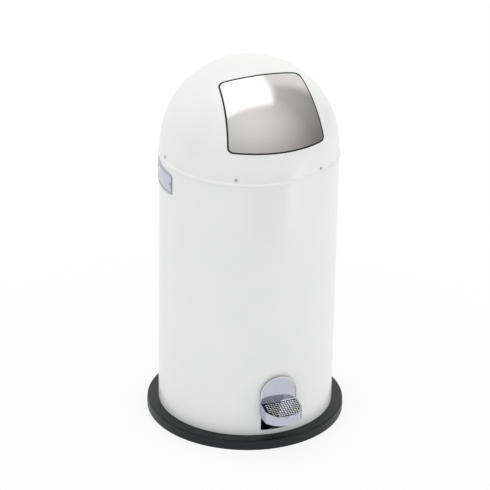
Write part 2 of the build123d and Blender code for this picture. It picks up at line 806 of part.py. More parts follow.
# Hood: a straight band with a rolled hem, and a half-ball dome with the flap opening
rivet_angles = [hood_rivet_start + 360.0 * index / hood_rivet_count for index in range(hood_rivet_count)]
hem_outer = hood_radius + hem_proud
with BuildPart() as hood_shell:
    with BuildSketch(Plane.XZ):
        with BuildLine():
            Polyline(
                (0, dome_z + hood_inner),
                (0, dome_z + hood_radius),
            )
            RadiusArc((0, dome_z + hood_radius), (hood_radius, dome_z), hood_radius)
            Polyline(
                (hood_radius, dome_z),
                (hood_radius, hood_edge_z + hem_height),
                (hem_outer, hood_edge_z + hem_height - hem_proud),
                (hem_outer, hood_edge_z),
                (hood_inner, hood_edge_z),
                (hood_inner, dome_z),
            )
            RadiusArc((hood_inner, dome_z), (0, dome_z + hood_inner), -hood_inner)
        make_face()
        hem_corners = vertices().group_by(Axis.X)[-1]
        fillet(hem_corners, hem_proud / 2)
    revolve(axis=Axis.Z)
    with BuildSketch(opening_plane):
        add(opening_outline())
        fillet(vertices(), opening_corner)
    extrude(amount=ring_radius, mode=Mode.SUBTRACT)
    for plane in ring_at(0, rivet_angles, hood_rivet_z):
        with BuildSketch(plane):
            Circle(rivet_shank + running)
        extrude(amount=ring_radius, mode=Mode.SUBTRACT)
hood_shell.part.label = "hood_shell"

# Collar riveted inside the hood, which drops into the body
collar_radius = hood_inner - slip
with BuildPart() as hood_collar:
    with BuildSketch(Plane.XY.offset(hood_edge_z - collar_drop)):
        Circle(collar_radius)
        Circle(collar_radius - collar_thickness, mode=Mode.SUBTRACT)
    extrude(amount=collar_drop + collar_rise)
    for plane in ring_at(0, rivet_angles, hood_rivet_z):
        with BuildSketch(plane):
            Circle(rivet_shank + running)
        extrude(amount=ring_radius, mode=Mode.SUBTRACT)
hood_collar.part.label = "hood_collar"

with BuildPart() as hood_rivets:
    for plane in ring_at(hood_radius, rivet_angles, hood_rivet_z):
        with BuildSketch(plane):
            Circle(rivet_head)
        extrude(amount=rivet_head_height, taper=rivet_head_taper)
        with BuildSketch(plane.offset(-sheet - slip - collar_thickness)):
            Circle(rivet_shank)
        extrude(amount=sheet + slip + collar_thickness)
hood_rivets.part.label = "hood_rivets"

# Flap: a ball-shaped skin with a turned rim, a little smaller than its opening
with BuildPart() as flap_room:
    with BuildSketch(opening_plane):
        add(opening_outline())
        fillet(vertices(), opening_corner)
        offset(amount=-flap_gap - flap_rim_width)
    extrude(amount=ring_radius)
    add(dome_shell(hood_radius - flap_skin, hood_radius / 2), mode=Mode.INTERSECT)

with BuildPart() as flap_panel:
    with BuildSketch(opening_plane):
        add(opening_outline())
        fillet(vertices(), opening_corner)
        offset(amount=-flap_gap)
    extrude(amount=ring_radius)
    add(dome_shell(hood_radius, hood_radius - flap_rim_depth), mode=Mode.INTERSECT)
    skin_edges = flap_panel.faces().sort_by(SortBy.AREA)[-1].outer_wire().edges()
    fillet(skin_edges, flap_edge_round)
    add(flap_room.part, mode=Mode.SUBTRACT)
flap_panel.part.label = "flap_panel"

flap_inside = hood_radius - flap_skin


def section_radius(ball, x):
    """Radius of a ball's slice at the distance x from its centre."""
    return math.sqrt(ball * ball - x * x)


def on_slice(radius, turn):
    """A point of a side view slice, at an angle up from the front."""
    return (-radius * math.cos(turn), dome_z + radius * math.sin(turn))


# Hinge arms that join the flap to its axle
arm_outer = section_radius(flap_inside, flap_arm_x + flap_arm_thickness) - sheet_fit
arm_inner = arm_outer - flap_arm_depth
arm_low = math.radians(flap_arm_low)
arm_high = math.radians(flap_arm_high)
arm_middle = (arm_low + arm_high) / 2
with BuildPart() as flap_arms:
    for side in (-1, 1):
        with BuildSketch(Plane.YZ.offset(side * flap_arm_x)):
            with BuildLine():
                ThreePointArc(
                    on_slice(arm_outer, arm_low),
                    on_slice(arm_outer, arm_middle),
                    on_slice(arm_outer, arm_high),
                )
                Polyline(
                    on_slice(arm_outer, arm_high),
                    (flap_axle_y, flap_axle_z + hub_radius),
                    (flap_axle_y, flap_axle_z - hub_radius),
                    on_slice(arm_inner, arm_middle),
                    on_slice(arm_inner, arm_low),
                    on_slice(arm_outer, arm_low),
                )
            make_face()
            with Locations((flap_axle_y, flap_axle_z)):
                Circle(hub_radius)
                Circle(flap_axle_radius + running, mode=Mode.SUBTRACT)
        extrude(amount=flap_arm_thickness / 2, both=True)
flap_arms.part.label = "flap_arms"

with BuildPart() as flap_axle:
    with BuildSketch(Plane.YZ):
        with Locations((flap_axle_y, flap_axle_z)):
            Circle(flap_axle_radius)
    extrude(amount=flap_axle_length / 2, both=True)
flap_axle.part.label = "flap_axle"

clip_x = hinge_bracket_x + hinge_bracket_thickness / 2 + slip
with BuildPart() as flap_axle_clips:
    for side in (-1, 1):
        with BuildSketch(Plane.YZ.offset(side * (clip_x + clip_thickness / 2))):
            with Locations((flap_axle_y, flap_axle_z)):
                Circle(clip_radius)
                Circle(flap_axle_radius + running, mode=Mode.SUBTRACT)
        extrude(amount=clip_thickness / 2, both=True)
flap_axle_clips.part.label = "flap_axle_clips"

# Crank on the axle, which the push rod lifts
drop = math.radians(crank_drop)
crank_plane = Plane(
    origin=(0, flap_axle_y, flap_axle_z),
    x_dir=(0, math.cos(drop), -math.sin(drop)),
    z_dir=(1, 0, 0),
)
with BuildPart() as flap_crank:
    with BuildSketch(crank_plane):
        with Locations((crank_length / 2, 0)):
            Rectangle(crank_length, crank_height)
        Circle(hub_radius)
        Circle(flap_axle_radius + running, mode=Mode.SUBTRACT)
    extrude(amount=crank_width / 2, both=True)
flap_crank.part.label = "flap_crank"

# Closing spring wound round the axle
flap_spring_pitch = flap_spring_wire + 4 * slip
coil_points, coil_tangents = helix_points(flap_spring_radius, flap_spring_pitch, flap_spring_turns)
coil_place = Plane(
    origin=(flap_spring_start_x, flap_axle_y, flap_axle_z), x_dir=(0, 0, -1), z_dir=(1, 0, 0)
)
coil_points = [coil_place.from_local_coords(point) for point in coil_points]
coil_tangents = [
    coil_place.x_dir * run.X + coil_place.y_dir * run.Y + coil_place.z_dir * run.Z for run in coil_tangents
]
with BuildPart() as flap_spring:
    with BuildLine() as coil_path:
        Line(coil_points[0] - coil_tangents[0] * flap_spring_tail, coil_points[0])
        biarc_path(coil_points, coil_tangents)
        Line(coil_points[-1], coil_points[-1] + coil_tangents[-1] * flap_spring_tail)
    with BuildSketch(Plane(origin=coil_path.line @ 0, z_dir=coil_tangents[0])):
        Circle(flap_spring_wire / 2)
    sweep(path=coil_path.line)
flap_spring.part.label = "flap_spring"
print("flap spring least gap", least_coil_gap(flap_spring_pitch, flap_spring_wire))

# Side tabs behind the dome that stop the flap, with rubber faces
tab_angle = math.radians(tab_latitude)
tab_plane = Plane(
    origin=(0, 0, dome_z), x_dir=(1, 0, 0), z_dir=(0, -math.cos(tab_angle), math.sin(tab_angle))
)
tab_along = opening_bottom_half_width + tab_reach
tab_outer = hood_radius - flap_rim_depth - sheet_fit
with BuildPart() as flap_tabs:
    with BuildSketch(tab_plane):
        Rectangle(2 * tab_along, tab_height)
        Rectangle(2 * (opening_top_half_width - 2 * flap_rim_depth), 2 * tab_height, mode=Mode.SUBTRACT)
    extrude(amount=ring_radius)
    add(dome_shell(tab_outer, tab_outer - tab_thickness), mode=Mode.INTERSECT)
flap_tabs.part.label = "flap_tabs"

buffer_along = opening_bottom_half_width + tab_reach / 2
with BuildPart() as flap_buffers:
    with BuildSketch(tab_plane):
        with Locations((-buffer_along, 0), (buffer_along, 0)):
            Circle(buffer_radius)
    extrude(amount=ring_radius)
    add(dome_shell(hood_inner - seat_gap, tab_outer + sheet_fit), mode=Mode.INTERSECT)
flap_buffers.part.label = "flap_buffers"

# Hinge brackets that hang from the dome and carry the axle
bracket_top = section_radius(hood_inner, hinge_bracket_x + hinge_bracket_thickness) - sheet_fit
with BuildPart() as flap_brackets:
    for side in (-1, 1):
        with BuildSketch(Plane.YZ.offset(side * hinge_bracket_x)):
            with Locations((0, dome_z)):
                Circle(bracket_top)
            with Locations((flap_axle_y + hub_radius, flap_axle_z + hub_radius)):
                Rectangle(hinge_bracket_width, 4 * hub_radius, mode=Mode.INTERSECT)
            with Locations((flap_axle_y, flap_axle_z)):
                Circle(flap_axle_radius + running, mode=Mode.SUBTRACT)
        extrude(amount=hinge_bracket_thickness / 2, both=True)
flap_brackets.part.label = "flap_brackets"

# Push rod: stands in the hood's guide tube, its foot over the lift rod
tip_offset = (crank_height / 2 + push_rod_tip + slip) / math.cos(drop)
crank_run = push_rod_y - flap_axle_y
push_tip_z = flap_axle_z - crank_run * math.tan(drop) - tip_offset
with BuildPart() as push_rod:
    with BuildSketch(Plane.XY.offset(push_foot_z + push_foot_thickness / 2)):
        with Locations((0, push_rod_y)):
            Circle(push_rod_radius)
    extrude(amount=push_tip_z - push_foot_z - push_foot_thickness / 2)
    with Locations((0, push_rod_y, push_tip_z)):
        Sphere(push_rod_tip)
push_rod.part.label = "push_rod"

with BuildPart() as push_foot:
    with BuildSketch(Plane.XY.offset(push_foot_z)):
        with Locations((0, (push_rod_y + lift_rod_y) / 2)):
            SlotCenterToCenter(lift_rod_y - push_rod_y, push_foot_width, rotation=90)
        Circle(lift_rod_y + push_foot_end, mode=Mode.INTERSECT)
    extrude(amount=push_foot_thickness)
    with BuildSketch(Plane.XY.offset(push_foot_z + push_foot_thickness / 2)):
        with Locations((0, push_rod_y)):
            Circle(push_rod_radius)
    extrude(amount=push_foot_thickness, mode=Mode.SUBTRACT)
push_foot.part.label = "push_foot"

# Guide tube on an arm welded to the back of the dome
guide_tube_z = push_tip_z - push_rod_tip - guide_tube_head_gap - guide_tube_length
with BuildPart() as guide_arm:
    with BuildSketch(Plane.XY.offset(guide_tube_z + guide_tube_length / 2)):
        with Locations((0, (push_rod_y + hood_radius) / 2)):
            Rectangle(guide_arm_width, hood_radius - push_rod_y)
    extrude(amount=guide_arm_thickness)
    with BuildSketch(Plane.XY.offset(guide_tube_z)):
        with Locations((0, push_rod_y)):
            Circle(guide_tube_radius)
    extrude(amount=guide_tube_length)
    with Locations((0, 0, dome_z)):
        Sphere(hood_inner - sheet_fit, mode=Mode.INTERSECT)
    with BuildSketch(Plane.XY.offset(guide_tube_z)):
        with Locations((0, push_rod_y)):
            Circle(push_rod_radius + running)
    extrude(amount=guide_tube_length, mode=Mode.SUBTRACT)
guide_arm.part.label = "guide_arm"

# Write one file for each piece
pieces = [
    base_ring.part,
    floor_plate.part,
    body_shell.part,
    body_foot.part,
    slot_sill.part,
    liner_seat_ring.part,
    upper_rod_bush,
    rod_guide_bracket.part,
    lower_rod_bush,
    name_plate.part,
    name_plate_rivets.part,
    pedal_bracket.part,
    pedal_axle.part,
    pedal_axle_clips.part,
    spring_seat.part,
    return_spring.part,
    lever_rest.part,
    pedal_lever.part,
    pedal_plate.part,
    pedal_plate_rim.part,
    pedal_tread.part,
    tread_pad.part,
    lift_rod.part,
    rod_foot.part,
    rod_cap.part,
    liner_bucket.part,
    bail_ears.part,
    bail.part,
    bail_grip.part,
    hood_shell.part,
    hood_collar.part,
    hood_rivets.part,
    flap_brackets.part,
    guide_arm.part,
    push_rod.part,
    push_foot.part,
    flap_panel.part,
    flap_arms.part,
    flap_axle.part,
    flap_axle_clips.part,
    flap_crank.part,
    flap_spring.part,
    flap_tabs.part,
    flap_buffers.part,
]
for piece in pieces:
    export_step(piece, "parts/" + piece.label + ".step")
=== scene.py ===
import json
import math

import bmesh
import bpy
from mathutils import Matrix, Vector

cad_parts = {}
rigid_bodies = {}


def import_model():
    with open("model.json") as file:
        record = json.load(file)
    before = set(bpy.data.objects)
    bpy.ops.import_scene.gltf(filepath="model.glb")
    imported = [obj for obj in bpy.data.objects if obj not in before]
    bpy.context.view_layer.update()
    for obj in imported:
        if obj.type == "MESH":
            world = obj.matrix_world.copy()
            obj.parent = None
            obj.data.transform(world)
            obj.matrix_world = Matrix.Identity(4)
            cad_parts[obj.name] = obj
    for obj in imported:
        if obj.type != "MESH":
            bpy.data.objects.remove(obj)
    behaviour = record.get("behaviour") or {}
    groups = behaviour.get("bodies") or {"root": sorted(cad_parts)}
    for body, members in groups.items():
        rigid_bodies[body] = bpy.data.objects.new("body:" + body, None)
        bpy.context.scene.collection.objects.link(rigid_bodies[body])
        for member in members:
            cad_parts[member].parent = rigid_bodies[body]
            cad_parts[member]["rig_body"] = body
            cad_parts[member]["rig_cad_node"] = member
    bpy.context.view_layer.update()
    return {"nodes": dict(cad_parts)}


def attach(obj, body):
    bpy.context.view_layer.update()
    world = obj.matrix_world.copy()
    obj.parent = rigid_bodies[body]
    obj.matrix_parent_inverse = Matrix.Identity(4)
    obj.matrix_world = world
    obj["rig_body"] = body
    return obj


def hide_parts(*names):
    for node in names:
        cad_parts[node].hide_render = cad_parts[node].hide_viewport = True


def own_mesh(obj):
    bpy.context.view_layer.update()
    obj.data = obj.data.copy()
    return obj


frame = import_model()
nodes = frame["nodes"]

# Sizes shared with the part, in metres
BODY_RADIUS = 0.177
RING_RADIUS = 0.200
RING_HEIGHT = 0.022
HOOD_EDGE_Z = 0.561
DOME_CENTRE_Z = 0.579
FLAP_TILT = math.radians(36.0)
NAME_PLATE_TURN = math.radians(97.0)
NAME_PLATE_HALF_TURN = math.radians(18.0)
NAME_PLATE_MIDDLE_Z = 0.5265
PEDAL_PLATE_OUTER = 0.1835
PEDAL_HALF_WIDTH = 0.0385
TREAD_BACK_Z = 0.0955
TREAD_SLOPE = math.radians(12.5)
TREAD_PAD_THICKNESS = 0.0008
LINER_TOP_Z = 0.536
LINER_BOTTOM_Z = 0.096
LINER_TOP_RADIUS = 0.148
LINER_BOTTOM_RADIUS = 0.138

# Sizes of the pieces modelled here, in metres
FOLD_PROUD = 0.0006
FOLD_RADIUS = 0.0013
FOLD_RISE = 0.0008
FOLD_END_INSET = 0.0015
BORDER_PROUD = 0.0021
BORDER_HEIGHT = 0.0375
BORDER_WIDTH = 0.0011
BORDER_RISE = 0.0006
BORDER_END_TURN = math.radians(0.4)
SEAM_RADIUS = 0.004
SEAM_INSET = 0.0036
SEAM_END_WIDTH = 0.0012
SEAM_TOP_GAP = 0.001
# thickness of the black strip that paints the shade in the flap's gap
GAP_SHADE_STRIP_THICKNESS = 0.0021
BEAD_RADIUS = 0.0024
BEAD_STRETCH = 1.8
BEAD_SHARES = (0.22, 0.78)
LIP_RADIUS = 0.0005
LIP_INSET = 0.0002
LIP_STRETCH = 1.6
LIP_Z = 0.0085

# Camera, fitted to the photograph's silhouette
CAMERA_AZIMUTH = math.radians(-22.0)
CAMERA_DISTANCE = 4.7921
CAMERA_HEIGHT = 2.6001
CAMERA_TILT = 0.43776
CAMERA_ROLL = 0.01786
CAMERA_YAW = -0.0011
CAMERA_LENS = 194.5

# Studio, in metres, and levels of light where 1 is white
ROOM_RADIUS = 6.0
ROOM_CENTRE_Z = 0.6
ROOM_TOP = math.radians(63.0)
ROOM_LOWEST_Z = -0.7
ROOM_BRIGHT_SIDE = math.radians(-20.0)
ROOM_LOW_AND_HIGH_LEVEL = (0.43, 1.25)
ROOM_DARK_AND_BRIGHT_SIDE_LEVEL = (0.56, 1.14)
BACKDROP_DIRECTION = (0, 1.0, 0.5)
BACKDROP_START_AND_END = (0.3 * ROOM_RADIUS, 0.62 * ROOM_RADIUS)
BACKDROP_LEVEL = 1.02
FLOOR_RADIUS = 24.0
FLOOR_FADE_START_AND_END = (0.25, 0.9)
FLOOR_NEAR_WHITENESS = 0.84
WORLD_LEVEL = 0.87
OVERHEAD_X = -0.45
OVERHEAD_Y = 0.12
OVERHEAD_AIM_Z = 0.5
OVERHEAD_SIZE = (2.5, 2.0)
PEDAL_CARD_Y = -0.46
PEDAL_CARD_Z = 0.39
PEDAL_CARD_HEIGHT = 0.34
PEDAL_CARD_AIM = (-0.18, 0.13)


def add_camera():
    """The photograph's long lens, a little off level as in the photograph."""
    heading = CAMERA_AZIMUTH
    towards = Vector((-math.sin(heading), math.cos(heading), 0))
    right = Vector((math.cos(heading), math.sin(heading), 0))
    towards, right = (
        towards * math.cos(CAMERA_YAW) + right * math.sin(CAMERA_YAW),
        right * math.cos(CAMERA_YAW) - towards * math.sin(CAMERA_YAW),
    )
    up = Vector((0, 0, 1))
    look = towards * math.cos(CAMERA_TILT) - up * math.sin(CAMERA_TILT)
    top = towards * math.sin(CAMERA_TILT) + up * math.cos(CAMERA_TILT)
    screen_right = right * math.cos(CAMERA_ROLL) + top * math.sin(CAMERA_ROLL)
    screen_up = top * math.cos(CAMERA_ROLL) - right * math.sin(CAMERA_ROLL)
    turn = Matrix((screen_right, screen_up, -look)).transposed().to_4x4()
    place = Vector((math.sin(heading), -math.cos(heading), 0)) * CAMERA_DISTANCE
    place.z = CAMERA_HEIGHT
    camera = bpy.data.objects.new("camera", bpy.data.cameras.new("camera"))
    bpy.context.scene.collection.objects.link(camera)
    camera.data.lens = CAMERA_LENS
    camera.data.sensor_width = 36.0
    camera.data.clip_end = 60.0
    camera.matrix_world = Matrix.Translation(place) @ turn
    bpy.context.scene.camera = camera


add_camera()
bpy.context.scene.view_settings.view_transform = "Standard"


# Materials
def linear(colour):
    """An sRGB hex colour as linear RGBA."""
    parts = [int(colour[i : i + 2], 16) / 255 for i in (1, 3, 5)]
    parts = [p / 12.92 if p <= 0.04045 else ((p + 0.055) / 1.055) ** 2.4 for p in parts]
    return (*parts, 1.0)


def add_node(tree, kind, settings, links=()):
    """Adds a node, gives its sockets and options their values, and links its inputs."""
    made = tree.nodes.new(kind)
    for name, value in settings.items():
        if isinstance(name, int) or name in made.inputs:
            made.inputs[name].default_value = value
        else:
            setattr(made, name, value)
    for name, source in dict(links).items():
        tree.links.new(source, made.inputs[name])
    return made


def start_finish(name, settings):
    """A new material with its shader set; gives the tree, the shader and Object coordinates."""
    finish = bpy.data.materials.new(name)
    finish.use_nodes = True
    tree = finish.node_tree
    tree.nodes.clear()
    shader = add_node(tree, "ShaderNodeBsdfPrincipled", settings)
    add_node(tree, "ShaderNodeOutputMaterial", {}, {"Surface": shader.outputs[0]})
    place = add_node(tree, "ShaderNodeTexCoord", {}).outputs["Object"]
    return finish, tree, shader, place


def per_millimetres(size):
    """A texture scale, in repeats per metre, for a pattern of that size in millimetres."""
    return 1000.0 / size


def powder_coated_steel():
    """Powder coat, sprayed and baked: a smooth semi-gloss white with a faint orange peel."""
    finish, tree, shader, place = start_finish(
        "powder_coated_steel", {"Metallic": 0.0, "IOR": 1.5, "Coat Weight": 0.25, "Coat Roughness": 0.12}
    )
    cloud = add_node(
        tree, "ShaderNodeTexNoise", {"Scale": per_millimetres(90), "Detail": 3.0}, {"Vector": place}
    )
    colour = add_node(
        tree,
        "ShaderNodeMix",
        {"data_type": "RGBA", 6: linear("#ECEDED"), 7: linear("#F2F3F1")},
        {0: cloud.outputs["Fac"]},
    )
    tree.links.new(colour.outputs[2], shader.inputs["Base Color"])
    gloss = add_node(
        tree, "ShaderNodeMapRange", {"To Min": 0.30, "To Max": 0.38}, {"Value": cloud.outputs["Fac"]}
    )
    tree.links.new(gloss.outputs[0], shader.inputs["Roughness"])
    # real orange peel is about 1.5 mm, drawn at 4 mm so that it shows
    peel = add_node(
        tree, "ShaderNodeTexNoise", {"Scale": per_millimetres(4), "Detail": 2.0}, {"Vector": place}
    )
    bump = add_node(
        tree, "ShaderNodeBump", {"Strength": 0.25, "Distance": 0.00002}, {"Height": peel.outputs["Fac"]}
    )
    tree.links.new(bump.outputs[0], shader.inputs["Normal"])
    return finish


def moulded_rubber():
    """Moulded rubber: dark grey-green, satin, with a fine mould grain and faint scuffs."""
    finish, tree, shader, place = start_finish("moulded_rubber", {"Metallic": 0.0, "IOR": 1.38})
    scuffs = add_node(
        tree,
        "ShaderNodeTexNoise",
        {"Scale": per_millimetres(25), "Detail": 6.0, "Roughness": 0.65},
        {"Vector": place},
    )
    colour = add_node(
        tree,
        "ShaderNodeMix",
        {"data_type": "RGBA", 6: linear("#0C1213"), 7: linear("#161F20")},
        {0: scuffs.outputs["Fac"]},
    )
    tree.links.new(colour.outputs[2], shader.inputs["Base Color"])
    gloss = add_node(
        tree, "ShaderNodeMapRange", {"To Min": 0.34, "To Max": 0.5}, {"Value": scuffs.outputs["Fac"]}
    )
    tree.links.new(gloss.outputs[0], shader.inputs["Roughness"])
    grain = add_node(
        tree, "ShaderNodeTexNoise", {"Scale": per_millimetres(1.5), "Detail": 3.0}, {"Vector": place}
    )
    bump = add_node(
        tree, "ShaderNodeBump", {"Strength": 0.5, "Distance": 0.00008}, {"Height": grain.outputs["Fac"]}
    )
    tree.links.new(bump.outputs[0], shader.inputs["Normal"])
    return finish


def polished_stainless():
    """Stainless sheet, rolled and buffed: a soft mirror with fine polishing lines across it."""
    finish, tree, shader, place = start_finish("polished_stainless", {"Metallic": 1.0})
    stretch = add_node(
        tree, "ShaderNodeMapping", {"Scale": (0.04, 1.0, 1.0)}, {"Vector": place}
    )
    lines = add_node(
        tree,
        "ShaderNodeTexNoise",
        {"Scale": per_millimetres(0.9), "Detail": 4.0, "Roughness": 0.6},
        {"Vector": stretch.outputs[0]},
    )
    colour = add_node(
        tree,
        "ShaderNodeMix",
        {"data_type": "RGBA", 6: linear("#D2D0D0"), 7: linear("#DDDBDA")},
        {0: lines.outputs["Fac"]},
    )
    tree.links.new(colour.outputs[2], shader.inputs["Base Color"])
    gloss = add_node(
        tree, "ShaderNodeMapRange", {"To Min": 0.13, "To Max": 0.19}, {"Value": lines.outputs["Fac"]}
    )
    tree.links.new(gloss.outputs[0], shader.inputs["Roughness"])
    bump = add_node(
        tree, "ShaderNodeBump", {"Strength": 0.12, "Distance": 0.00001}, {"Height": lines.outputs["Fac"]}
    )
    tree.links.new(bump.outputs[0], shader.inputs["Normal"])
    return finish


def chromed_steel():
    """Bright chromium plate on polished steel: a cool mirror with a faint haze from wear."""
    finish, tree, shader, place = start_finish("chromed_steel", {"Metallic": 1.0})
    haze = add_node(
        tree,
        "ShaderNodeTexNoise",
        {"Scale": per_millimetres(14), "Detail": 5.0, "Roughness": 0.6},
        {"Vector": place},
    )
    colour = add_node(
        tree,
        "ShaderNodeMix",
        {"data_type": "RGBA", 6: linear("#B8BAC9"), 7: linear("#C2C3D1")},
        {0: haze.outputs["Fac"]},
    )
    tree.links.new(colour.outputs[2], shader.inputs["Base Color"])
    gloss = add_node(
        tree, "ShaderNodeMapRange", {"To Min": 0.03, "To Max": 0.09}, {"Value": haze.outputs["Fac"]}
    )
    tree.links.new(gloss.outputs[0], shader.inputs["Roughness"])
    return finish


def chromed_tread_painted_light():
    """Chromium plate on the tread: the stud tops brighter than chrome, a painted highlight, and the
    hollows between them dark and rougher, painted shade.
    """
    finish, tree, shader, place = start_finish("chromed_tread_painted_light", {"Metallic": 1.0})
    normal = Vector((0, -math.sin(TREAD_SLOPE), math.cos(TREAD_SLOPE)))
    rise = add_node(
        tree, "ShaderNodeVectorMath", {"operation": "DOT_PRODUCT", 1: normal}, {0: place}
    )
    base = Vector((0, -PEDAL_PLATE_OUTER, TREAD_BACK_Z)).dot(normal) + TREAD_PAD_THICKNESS
    # the mask is 0 down between the studs and 1 on the stud tops
    painted_light_mask = add_node(
        tree,
        "ShaderNodeMapRange",
        {"From Min": base, "From Max": base + 0.0003},
        {"Value": rise.outputs["Value"]},
    )
    # painted shade: dark down between the studs; painted highlight: near-white stud tops
    colour = add_node(
        tree,
        "ShaderNodeMix",
        {"data_type": "RGBA", 6: linear("#3A3B40"), 7: linear("#F0F0F6")},
        {0: painted_light_mask.outputs[0]},
    )
    tree.links.new(colour.outputs[2], shader.inputs["Base Color"])
    gloss = add_node(
        tree, "ShaderNodeMapRange", {"To Min": 0.28, "To Max": 0.08}, {"Value": painted_light_mask.outputs[0]}
    )
    tree.links.new(gloss.outputs[0], shader.inputs["Roughness"])
    return finish


def burnished_rivets():
    """Steel rivets left bare, and burnished by the riveting set."""
    finish, tree, shader, place = start_finish("burnished_rivets", {"Metallic": 1.0})
    cloud = add_node(
        tree, "ShaderNodeTexNoise", {"Scale": per_millimetres(1), "Detail": 3.0}, {"Vector": place}
    )
    colour = add_node(
        tree,
        "ShaderNodeMix",
        {"data_type": "RGBA", 6: linear("#A2A4AA"), 7: linear("#BCBEC4")},
        {0: cloud.outputs["Fac"]},
    )
    tree.links.new(colour.outputs[2], shader.inputs["Base Color"])
    gloss = add_node(
        tree, "ShaderNodeMapRange", {"To Min": 0.25, "To Max": 0.4}, {"Value": cloud.outputs["Fac"]}
    )
    tree.links.new(gloss.outputs[0], shader.inputs["Roughness"])
    return finish


def galvanised_sheet():
    """Hot-dip galvanised sheet: dull blue-grey zinc with spangles about 12 mm across."""
    finish, tree, shader, place = start_finish("galvanised_sheet", {"Metallic": 1.0})
    spangle = add_node(
        tree,
        "ShaderNodeTexVoronoi",
        {"Scale": per_millimetres(12), "Randomness": 1.0},
        {"Vector": place},
    )
    shade = add_node(tree, "ShaderNodeSeparateColor", {}, {"Color": spangle.outputs["Color"]})
    colour = add_node(
        tree,
        "ShaderNodeMix",
        {"data_type": "RGBA", 6: linear("#A9AEB2"), 7: linear("#C6CACC")},
        {0: shade.outputs[0]},
    )
    tree.links.new(colour.outputs[2], shader.inputs["Base Color"])
    gloss = add_node(
        tree, "ShaderNodeMapRange", {"To Min": 0.32, "To Max": 0.5}, {"Value": shade.outputs[1]}
    )
    tree.links.new(gloss.outputs[0], shader.inputs["Roughness"])
    edge = add_node(
        tree,
        "ShaderNodeTexNoise",
        {"Scale": per_millimetres(3), "Detail": 2.0},
        {"Vector": place},
    )
    bump = add_node(
        tree, "ShaderNodeBump", {"Strength": 0.3, "Distance": 0.00005}, {"Height": edge.outputs["Fac"]}
    )
    tree.links.new(bump.outputs[0], shader.inputs["Normal"])
    return finish


def zinc_plated_steel():
    """Bright zinc plate on drawn and cut steel: a soft sheen, slightly blue, cloudy in patches."""
    finish, tree, shader, place = start_finish("zinc_plated_steel", {"Metallic": 1.0})
    cloud = add_node(
        tree,
        "ShaderNodeTexNoise",
        {"Scale": per_millimetres(6), "Detail": 5.0},
        {"Vector": place},
    )
    colour = add_node(
        tree,
        "ShaderNodeMix",
        {"data_type": "RGBA", 6: linear("#B4B8BC"), 7: linear("#CDCFD0")},
        {0: cloud.outputs["Fac"]},
    )
    tree.links.new(colour.outputs[2], shader.inputs["Base Color"])
    gloss = add_node(
        tree, "ShaderNodeMapRange", {"To Min": 0.2, "To Max": 0.36}, {"Value": cloud.outputs["Fac"]}
    )
    tree.links.new(gloss.outputs[0], shader.inputs["Roughness"])
    bump = add_node(
        tree, "ShaderNodeBump", {"Strength": 0.2, "Distance": 0.00002}, {"Height": cloud.outputs["Fac"]}
    )
    tree.links.new(bump.outputs[0], shader.inputs["Normal"])
    return finish


def oiled_spring_wire():
    """Oil-tempered spring wire: dark, drawn and wound, with fine lines and a thin oil shine."""
    finish, tree, shader, place = start_finish("oiled_spring_wire", {"Metallic": 1.0})
    drawn = add_node(
        tree,
        "ShaderNodeTexNoise",
        {"Scale": per_millimetres(1.2), "Detail": 3.0},
        {"Vector": place},
    )
    colour = add_node(
        tree,
        "ShaderNodeMix",
        {"data_type": "RGBA", 6: linear("#6A6C70"), 7: linear("#85878B")},
        {0: drawn.outputs["Fac"]},
    )
    tree.links.new(colour.outputs[2], shader.inputs["Base Color"])
    gloss = add_node(
        tree, "ShaderNodeMapRange", {"To Min": 0.22, "To Max": 0.36}, {"Value": drawn.outputs["Fac"]}
    )
    tree.links.new(gloss.outputs[0], shader.inputs["Roughness"])
    return finish


def brushed_aluminium():
    """Aluminium sheet brushed along the plate and clear anodised: silver with long fine lines."""
    finish, tree, shader, place = start_finish("brushed_aluminium", {"Metallic": 1.0})
    stretch = add_node(
        tree, "ShaderNodeMapping", {"Scale": (0.05, 0.05, 1.0)}, {"Vector": place}
    )
    lines = add_node(
        tree,
        "ShaderNodeTexNoise",
        {"Scale": per_millimetres(0.8), "Detail": 5.0, "Roughness": 0.7},
        {"Vector": stretch.outputs[0]},
    )
    colour = add_node(
        tree,
        "ShaderNodeMix",
        {"data_type": "RGBA", 6: linear("#B9BBC6"), 7: linear("#D3D5DE")},
        {0: lines.outputs["Fac"]},
    )
    tree.links.new(colour.outputs[2], shader.inputs["Base Color"])
    gloss = add_node(
        tree, "ShaderNodeMapRange", {"To Min": 0.24, "To Max": 0.38}, {"Value": lines.outputs["Fac"]}
    )
    tree.links.new(gloss.outputs[0], shader.inputs["Roughness"])
    bump = add_node(
        tree, "ShaderNodeBump", {"Strength": 0.25, "Distance": 0.00002}, {"Height": lines.outputs["Fac"]}
    )
    tree.links.new(bump.outputs[0], shader.inputs["Normal"])
    return finish


def moulded_nylon():
    """Natural nylon, injection moulded: milky off-white, waxy, with a soft even sheen."""
    finish, tree, shader, place = start_finish("moulded_nylon", {"Metallic": 0.0, "IOR": 1.53})
    flow = add_node(
        tree,
        "ShaderNodeTexNoise",
        {"Scale": per_millimetres(5), "Detail": 3.0},
        {"Vector": place},
    )
    colour = add_node(
        tree,
        "ShaderNodeMix",
        {"data_type": "RGBA", 6: linear("#DDDACB"), 7: linear("#E8E5D8")},
        {0: flow.outputs["Fac"]},
    )
    tree.links.new(colour.outputs[2], shader.inputs["Base Color"])
    gloss = add_node(
        tree, "ShaderNodeMapRange", {"To Min": 0.38, "To Max": 0.5}, {"Value": flow.outputs["Fac"]}
    )
    tree.links.new(gloss.outputs[0], shader.inputs["Roughness"])
    return finish


powder_coat = powder_coated_steel()
rubber = moulded_rubber()
stainless = polished_stainless()
chrome = chromed_steel()
chromed_studs = chromed_tread_painted_light()
bare_rivets = burnished_rivets()
galvanised = galvanised_sheet()
zinc = zinc_plated_steel()
spring_wire = oiled_spring_wire()
aluminium = brushed_aluminium()
nylon = moulded_nylon()

